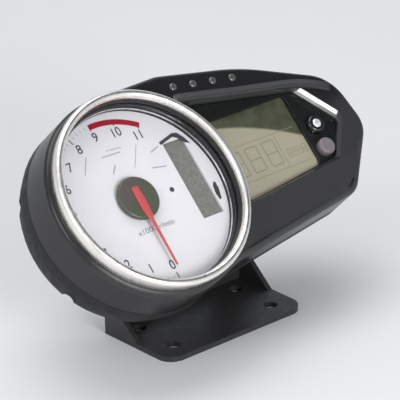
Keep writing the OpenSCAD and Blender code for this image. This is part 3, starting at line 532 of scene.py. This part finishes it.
def front_case():
    """The front moulding: rounded edge, framing groove, recess for the panel's cover."""
    bm = bmesh.new()
    turns = [math.radians(t) for t in range(0, 91, 10)]
    levels = [(0.3, PARTING_Z), (0, PARTING_Z + 0.3)]
    levels += [(EDGE_R * (1 - math.cos(t)), under_front(EDGE_R * (1 - math.sin(t)))) for t in turns]
    outside = tower(bm, lambda i: outline(CASE_ROUNDS, i), levels)
    inside = tower(bm, lambda i: outline(CASE_ROUNDS, i), [(WALL, PARTING_Z), (WALL, UNDER_Z)])
    bridge(bm, outside[0], inside[0])

    opening = tower(bm, lambda i: circle((0, 0), OPENING_R + i, 192),
                    [(0, UNDER_Z), (0, FRONT_Z - 0.2), (0.2, FRONT_Z)])
    recess = tower(bm, recess_edge, [
        (0, FLOOR_Z), (0, 2.0), (0.1, 2.2), (0.42, 2.83), (0.9, 3.78), (1, under_front(0.03)),
        (1.06, under_front(0)),
    ])
    basin = tower(bm, lambda i: round_the_ring(outline(RECESS_ROUNDS, -i), RECESS_CLEAR_R - 2),
                  [(WALL, FLOOR_Z - FLOOR_T), (WALL, UNDER_Z)])
    lamp_wells = [tower(bm, lambda i, n=n: circle(lamp_at(n), LAMP_R + 0.05 + i, 32),
                        [(0, UNDER_Z), (0, FRONT_Z - 0.15), (0.15, FRONT_Z)]) for n in range(LAMP_COUNT)]
    groove = tower(bm, groove_edge, [
        (-0.1, under_front(GROOVE_H)), (0, under_front(0.12)), (0.12, under_front(0)),
    ])
    fill(bm, [groove[0]])
    grid = [(x / 2, y / 2) for x in range(60, 260, 5) for y in range(-80, 4, 5)]
    crease = [(SILL_FROM[0] + 1.5 * k, SILL_FROM[1] + 1.5 * k * math.tan(SILL_TURN)) for k in range(56)]
    rims = [outside[-1], opening[-1], recess[-1], groove[-1]] + [w[-1] for w in lamp_wells]
    fill(bm, rims, grid + crease, front_z)
    fill(bm, [inside[-1], opening[0], basin[-1]] + [w[0] for w in lamp_wells])

    low = FLOOR_Z - FLOOR_T
    window = tower(bm, lambda i: outline(WINDOW_ROUNDS, i), [(0, low), (0, FLOOR_Z - 0.1), (-0.1, FLOOR_Z)])
    holes = [tower(bm, lambda i, c=c: circle(c, BUTTON_R + BUTTON_GAP + i), [(0, low), (0, FLOOR_Z)])
             for c in (UPPER_BUTTON, LOWER_BUTTON)]
    fill(bm, [recess[0], window[-1]] + [h[-1] for h in holes])
    fill(bm, [basin[0], window[0]] + [h[0] for h in holes])
    for f in bm.faces:
        c = f.calc_center_median()
        f.material_index = int(c.z > 2.9 and within(c.x, c.y, [recess[-1]]))
    piece("front_shell", bm, [CASE, CASE_BEVEL], replaces=["front_case"], sharp=28)


def posts():
    """Posts inside the front moulding, with the holes that the case's and the board's screws go into."""
    bm = bmesh.new()
    for places, low, tip in ((CASE_POSTS, PARTING_Z, -6.2), (BOARD_POSTS, BOARD_Z, -6.0)):
        for x, y, top in places:
            profile = [(PILOT_R, low), (BOSS_R, low), (BOSS_R, top), (0, top), (0, tip), (PILOT_R, tip)]
            lathe(bm, profile, at=(x, y), steps=32)
    piece("front_shell_posts", bm, CASE_REAR, replaces=["front_case"])


def brow():
    """Raised ridge along the top of the recess, dying away at its right end."""
    bm = bmesh.new()
    # the ridge's foot, and its height there; the last point sinks under the surface
    along = [(38, 35.4), (45, 34.1), (61, 31.0), (77, 27.8), (90, 25.6), (100.5, 23.8), (108, 22.0),
             (114, 19.9), (120, 17.3), (125, 14.6)]
    heights = [1.9, 1.9, 1.9, 1.9, 1.9, 1.9, 1.8, 1.5, 0.9, -0.5]
    rows = []
    for i, (x, y) in enumerate(along):
        before, after = along[max(0, i - 1)], along[min(len(along) - 1, i + 1)]
        d = Vector((after[0] - before[0], after[1] - before[1])).normalized()
        side = Vector((-d.y, d.x))
        h = heights[i]
        profile = [(-0.3, -0.6), (0.0, 0.0), (0.25, 0.72 * h), (0.6, 0.93 * h), (1.1, h), (1.7, 0.95 * h),
                   (3.4, 0.42 * h), (5.0, 0.0), (5.0, -0.6)]
        rows.append([bm.verts.new((x + side.x * s, y + side.y * s, FRONT_Z + z)) for s, z in profile])
    for one, two in zip(rows, rows[1:]):
        bridge(bm, one, two)
    bm.faces.new(rows[0])
    bm.faces.new(reversed(rows[-1]))
    ob = piece("front_shell_brow", bm, BROW, replaces=["front_case"], sharp=50)
    smooth = ob.modifiers.new("round", "SUBSURF")
    smooth.levels = smooth.render_levels = 2
    ob.modifiers.move(1, 0)


# ---------------------------------------------------------------- tachometer
def bezel():
    """Polished ring with a round bead and a darker funnel down to the lens; the funnel's lower part is
    painted shade in black.
    """
    bead_c = (BEZEL_R - BEAD_R, BEZEL_TOP - BEAD_R)
    outer = [(47.0, 2.6), (47.7, 2.6), (47.7, 4.0), (47.9, 4.02), (48.1, 4.25), (48.3, 5.0), (48.62, 6.4),
             (48.85, 7.6), (49.02, 8.8), (49.09, 9.6)]
    bead = arc(*bead_c, BEAD_R, 0, 172, 26)
    funnel = [(45.22, 9.9), (45.12, 9.3), (44.85, 8.4), (44.55, 7.5), (44.5, 7.3), (44.5, 6.8)]
    under = [(46.7, 6.8), (46.7, 4.0), (47.0, 4.0)]
    bm = bmesh.new()
    lathe(bm, outer + bead + funnel + under, steps=240)
    for f in bm.faces:
        c = f.calc_center_median()
        if math.hypot(c.x, c.y) < 45.9:
            # below z 9 the funnel takes the dial's black: painted shade on the lower inner wall
            f.material_index = 2 if c.z < 9.0 else int(c.z < bead_c[1] - 0.1)
    piece("bezel_polished", bm, [BEZEL, FUNNEL, DIAL_BLACK], replaces=["bezel_ring"],
          sharp=40)


def tach_lens():
    bm = bmesh.new()
    top = LENS_Z + LENS_T
    lathe(bm, [(0, LENS_Z), (LENS_R, LENS_Z), (LENS_R, top - 0.2), (LENS_R - 0.2, top), (0, top)], steps=128)
    ob = piece("tach_lens_clear", bm, COVER, replaces=["tach_lens"])
    ob.visible_shadow = False


def trim_ring():
    bm = bmesh.new()
    lathe(bm, [(43.6, 1.75), (45.8, 1.75), (45.8, 4.95), (44.6, 4.95), (44.35, 4.8), (43.85, 2.5)], steps=192)
    for f in bm.faces:
        f.material_index = int(f.calc_center_median().z > 2.5)
    piece("dial_trim_bright", bm, [TRIM, DIAL_BLACK], replaces=["dial_trim_ring"])


def on_dial(angle, r):
    """Point at a clockwise angle in degrees from straight down, about the needle's axis."""
    a = math.radians(-90 - angle)
    return (r * math.cos(a) - AXIS_OFFSET, r * math.sin(a))


def arc_band(bm, start, end, inner, outer, low, high, steps=40):
    rim = [on_dial(start + (end - start) * k / steps, outer) for k in range(steps + 1)]
    back = [on_dial(end + (start - end) * k / steps, inner) for k in range(steps + 1)]
    slab(bm, rim + back, low, high)


def lettering(name, items, finish, z=0.03):
    """Printed characters: items of (text, x, y, height in mm, width factor)."""
    bm = bmesh.new()
    for text, x, y, size, narrow in items:
        curve = bpy.data.curves.new("text", "FONT")
        curve.body = text
        curve.size = size / 0.72
        curve.align_x, curve.align_y = "CENTER", "CENTER"
        curve.extrude = 0.01
        curve.offset = 0.05 * size / 5
        ob = bpy.data.objects.new("text", curve)
        bpy.context.scene.collection.objects.link(ob)
        bpy.context.view_layer.update()
        mesh = bpy.data.meshes.new_from_object(ob.evaluated_get(bpy.context.evaluated_depsgraph_get()))
        mesh.transform(Matrix.Translation((x, y, z)) @ Matrix.Diagonal((narrow, 1, 1, 1)))
        bm.from_mesh(mesh)
        bpy.data.objects.remove(ob)
        bpy.data.meshes.remove(mesh)
        bpy.data.curves.remove(curve)
    piece(name, bm, finish)


def dial_print():
    low, high = 0.012, 0.035
    numbers = [(str(k), *on_dial(SWEEP_STEP * k, 34), 4.6, 0.95) for k in range(12)]
    lettering("dial_numbers", numbers, PRINT_DARK)
    lettering("dial_unit", [("x1000 r/min", -2.1, -15.2, 2.7, 1.15)], PRINT_GREY)

    ticks = bmesh.new()
    for k in range(12):
        stroke(ticks, on_dial(SWEEP_STEP * k, 37.6), on_dial(SWEEP_STEP * k, SCALE_R), 0.55, low, high)
    piece("dial_ticks", ticks, PRINT_DARK)
    fine = bmesh.new()
    for k in range(55):
        if k % 5:
            angle = SWEEP_STEP * k / 5
            stroke(fine, on_dial(angle, SCALE_R - 1.5), on_dial(angle, SCALE_R), 0.28, low, high)
    piece("dial_fine_ticks", fine, PRINT_GREY)

    red = bmesh.new()
    arc_band(red, 9 * SWEEP_STEP, 11 * SWEEP_STEP, SCALE_R - 2.4, SCALE_R + 0.3, high, high + 0.02)
    piece("dial_red_zone", red, PRINT_RED)

    marks = bmesh.new()
    slab(marks, circle((16.1, -1.2), 1.25, 24), low, high)
    stroke(marks, (22.9, 20.9), (31.8, 23.0), 1.6, low, high)
    slab(marks, [(31.0, 22.0), (33.0, 20.8), (35.6, 17.8), (38.4, 16.2), (36.6, 20.4), (34.4, 23.2),
                 (31.4, 23.8)], low, high)
    slab(marks, [(37.3, -13.6), (38.6, -13.2), (39.9, -8.2), (39.9, -5.0), (38.8, -4.6), (37.5, -6.6),
                 (36.9, -10.2)], low, high)
    piece("dial_marks", marks, PRINT_DARK)

    # faint grey strokes at the listed places on the dial
    faint = bmesh.new()
    for p, q, w in [((11.1, 24.8), (3.9, 14.4), 0.4), ((-17.1, 27), (-22.6, 18.9), 0.5),
                    ((-9.6, 24.1), (0.9, 23.7), 0.6), ((-6, 26.3), (2.6, 25.6), 0.4),
                    ((-5.2, 18.7), (-8.4, 15), 0.7), ((16.1, 18.6), (21.2, 20.1), 0.7),
                    ((12.2, 11.5), (19.9, 10.1), 0.6)]:
        stroke(faint, p, q, w, low, high)
    piece("dial_faint_marks", faint, FAINT_GREY)


def needle():
    """Red pointer with a ridge along it; broad over the cap, thin beyond."""
    bm = bmesh.new()
    # place along the needle and half its width there
    stations = [(5.2, 1.4), (4.7, 1.9), (0, 2.1), (-5.4, 2.1), (-9.6, 1.6), (-12, 0.9), (-20, 0.74),
                (-34.6, 0.48), (-35.5, 0.3)]
    rows = []
    for y, w in stations:
        section = [(-w, 3.42), (-w, 3.8), (-0.55 * w, 4.12), (0, 4.28), (0.55 * w, 4.12), (w, 3.8), (w, 3.42)]
        rows.append([bm.verts.new((x - AXIS_OFFSET, y, z)) for x, z in section])
    for one, two in zip(rows, rows[1:]):
        bridge(bm, one, two)
    bm.faces.new(rows[0])
    bm.faces.new(reversed(rows[-1]))
    piece("needle_pointer", bm, NEEDLE_RED, body="needle", replaces=["needle"], sharp=50)


def needle_cap():
    bm = bmesh.new()
    profile = [(0, 0.5), (3, 0.5), (3, 1.2), (10.3, 1.2), (10.6, 1.45), (10.6, 2.2)]
    profile += arc(9.5, 2.2, 1.1, 10, 90, 8) + [(6, 3.33), (0, 3.35)]
    lathe(bm, profile, at=(-AXIS_OFFSET, 0), steps=96)
    piece("needle_cap_dark", bm, CAP, body="needle", replaces=["needle_cap"])


# ---------------------------------------------------------------- display, buttons, lamps
def display_lens():
    """Clear cover over the whole recess, with round cut-outs for the buttons."""
    bm = bmesh.new()
    side = [(0.1, COVER_LOW), (0.1, COVER_TOP - 0.1), (0.2, COVER_TOP)]
    hole_side = [(-0.05, COVER_LOW), (-0.05, COVER_TOP - 0.05), (0, COVER_TOP)]

    def edge(inset):
        return round_the_ring(outline(RECESS_FOOT_ROUNDS, FLOOR_INSET + inset), RECESS_CLEAR_R + inset)

    rim = tower(bm, edge, side)
    holes = [tower(bm, lambda i, c=c: circle(c, BUTTON_R + BUTTON_GAP + i), hole_side)
             for c in (UPPER_BUTTON, LOWER_BUTTON)]
    fill(bm, [rim[0]] + [h[0] for h in holes])
    fill(bm, [rim[-1]] + [h[-1] for h in holes])
    ob = piece("display_cover", bm, DARK_COVER, replaces=["display_lens"])
    ob.visible_shadow = False


def seven_segments(bm, x, y, w, h, t, low, high):
    """The unlit outline of one digit."""
    g = 0.25 * t
    mid = h / 2
    for a, b in [((0, 0), (w, 0)), ((0, mid), (w, mid)), ((0, h), (w, h))]:
        stroke(bm, (x + a[0] + g, y + a[1]), (x + b[0] - g, y + b[1]), t, low, high)
    for a, b in [((0, 0), (0, mid)), ((0, mid), (0, h)), ((w, 0), (w, mid)), ((w, mid), (w, h))]:
        stroke(bm, (x + a[0], y + a[1] + g), (x + b[0], y + b[1] - g), t, low, high)


def display_segments():
    """Faint unlit segments on the panel, as such panels show from the side."""
    low, high = LCD_PRINT
    bm = bmesh.new()
    for k in range(3):
        seven_segments(bm, 55 + 10.5 * k, -7.5, 7, 12.5, 0.5, low, high)
    for k in range(4):
        seven_segments(bm, 87.5 + 3.1 * k, -6.2, 2, 4.2, 0.3, low, high)
    stroke(bm, (53, 7.4), (98, 7.4), 0.3, low, high)
    stroke(bm, (53, -10.4), (98, -10.4), 0.3, low, high)
    stroke(bm, (85, -10.4), (85, 7.4), 0.3, low, high)
    piece("display_segments", bm, SEGMENT)


def button(name, at, finish, top, replaced):
    """A button on its stem, with the profile of its top going in from the edge."""
    bm = bmesh.new()
    stem = [(0, -6.2), (2, -6.2), (2, -3.8), (BUTTON_R, -3.8)]
    lathe(bm, stem + top, at=at, steps=64)
    piece(name, bm, finish, body=replaced, replaces=[replaced])


def buttons():
    hollow = [(2.4, 2.8), (2.2, 2.55), (0, 2.55)]
    button("upper_button_cap", UPPER_BUTTON, BUTTON_DARK, arc(3.3, 1.8, 1.0, 0, 90, 8) + hollow,
           "upper_button")
    # the pip: a silver dome whose near-white colour is partly painted highlight
    pip = bmesh.new()
    lathe(pip, [(0, 2.3), (2.15, 2.3), (2.15, 2.6)] + dome(2.15, 2.6, 0.75, range(10, 91, 10)),
          at=UPPER_BUTTON, steps=48)
    piece("upper_button_pip", pip, BUTTON_BRIGHT, body="upper_button", replaces=["upper_button"])
    dish = [(1.6, 2.62), (0, 2.5)]
    button("lower_button_cap", LOWER_BUTTON, BUTTON_GREY, arc(3.1, 1.6, 1.2, 0, 90, 8) + dish,
           "lower_button")


def lamps():
    bm = bmesh.new()
    for n in range(LAMP_COUNT):
        part = bmesh.new()
        lathe(part, [(0, 1.6), (LAMP_R, 1.6)] + dome(LAMP_R, 3.95, 0.75, range(0, 91, 15)), at=lamp_at(n),
              steps=40)
        mesh = bpy.data.meshes.new("lamp")
        part.to_mesh(mesh)
        part.free()
        bm.from_mesh(mesh)
        bpy.data.meshes.remove(mesh)
    piece("indicator_domes", bm, LAMP, replaces=["indicator_lenses"])


# ---------------------------------------------------------------- carried-over CAD nodes
def dress_cad_nodes():
    """Every CAD node still shown gets its finish, smooth shading and softened edges."""
    for name, finish in NODE_FINISH.items():
        ob = frame["nodes"][name]
        ob.data.materials.clear()
        ob.data.materials.append(finish)
        ob.data.polygons.foreach_set("use_smooth", [True] * len(ob.data.polygons))
        weld = ob.modifiers.new("weld", "WELD")
        weld.merge_threshold = 1e-6
        split = ob.modifiers.new("sharp_edges", "EDGE_SPLIT")
        split.split_angle = math.radians(32)
        even = ob.modifiers.new("even_normals", "WEIGHTED_NORMAL")
        even.keep_sharp = True


# ---------------------------------------------------------------- studio
def area_light(name, towards, distance, size, power):
    """Soft panel that shines on the cluster from the direction towards."""
    light = bpy.data.lights.new(name, "AREA")
    light.shape = "RECTANGLE"
    light.size, light.size_y = size
    light.energy = power
    ob = bpy.data.objects.new(name, light)
    bpy.context.scene.collection.objects.link(ob)
    target = CENTRE + RIGHT * LIGHT_TARGET_X * MM
    direction = Vector(towards).normalized()
    ob.location = target + direction * distance
    ob.rotation_euler = (-direction).to_track_quat("-Z", "Y").to_euler()


LIGHT_TARGET_X = 38  # the lights point at this place on the face, in millimetres
# Where the front's flat black surfaces mirror the studio: its dim side
DIM_SIDE = (0.52, -0.22, 0.826)


def studio():
    bm = bmesh.new()
    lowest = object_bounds()[0].z
    slab(bm, [(-4, -4), (4, -4), (4, 4), (-4, 4)], lowest - 0.02, lowest)
    mesh = bpy.data.meshes.new("floor")
    bm.to_mesh(mesh)
    bm.free()
    mesh.materials.append(FLOOR)
    floor = bpy.data.objects.new("floor", mesh)
    bpy.context.scene.collection.objects.link(floor)
    floor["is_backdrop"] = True

    world = bpy.data.worlds.new("studio")
    world.use_nodes = True
    tree = world.node_tree
    direction = tree.nodes.new("ShaderNodeTexCoord")
    along = tree.nodes.new("ShaderNodeVectorMath")
    along.operation = "DOT_PRODUCT"
    along.inputs[1].default_value = DIM_SIDE
    walls = tree.nodes.new("ShaderNodeValToRGB")
    walls.color_ramp.elements[0].position, walls.color_ramp.elements[0].color = 0.78, (0.8, 0.83, 0.88, 1)
    walls.color_ramp.elements[1].position, walls.color_ramp.elements[1].color = 0.95, (0.1, 0.1, 0.11, 1)
    tree.links.new(direction.outputs["Generated"], along.inputs[0])
    tree.links.new(along.outputs["Value"], walls.inputs["Fac"])
    tree.links.new(walls.outputs["Color"], tree.nodes["Background"].inputs["Color"])
    tree.nodes["Background"].inputs["Strength"].default_value = 0.7
    bpy.context.scene.world = world
    area_light("key", (-0.13, -0.945, 0.27), 1.3, (0.5, 0.4), 11)
    area_light("top", (0.1, 0.25, 1.0), 1.4, (1.2, 1.0), 10)
    area_light("left", (-1.0, -0.15, 0.55), 1.5, (0.8, 0.8), 7)
    bpy.context.scene.view_settings.view_transform = "Standard"


def camera():
    """The photograph's viewing angle, from 1.6 m with a long lens, slightly rolled."""
    eye = Vector((-0.9935, -1.1373, 0.7406))
    roll = math.radians(1.2)
    lo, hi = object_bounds()
    back = (eye - (lo + hi) / 2).normalized()
    side = Vector((0, 0, 1)).cross(back).normalized()
    top = back.cross(side)
    right = side * math.cos(roll) - top * math.sin(roll)
    up = top * math.cos(roll) + side * math.sin(roll)
    data = bpy.data.cameras.new("camera")
    data.lens = 325
    cam = bpy.data.objects.new("camera", data)
    cam.matrix_world = Matrix.Translation(eye) @ Matrix((right, up, back)).transposed().to_4x4()
    bpy.context.scene.collection.objects.link(cam)
    bpy.context.scene.camera = cam


front_case()
posts()
brow()
bezel()
tach_lens()
trim_ring()
dial_print()
needle()
needle_cap()
display_lens()
display_segments()
buttons()
lamps()
dress_cad_nodes()
studio()
camera()
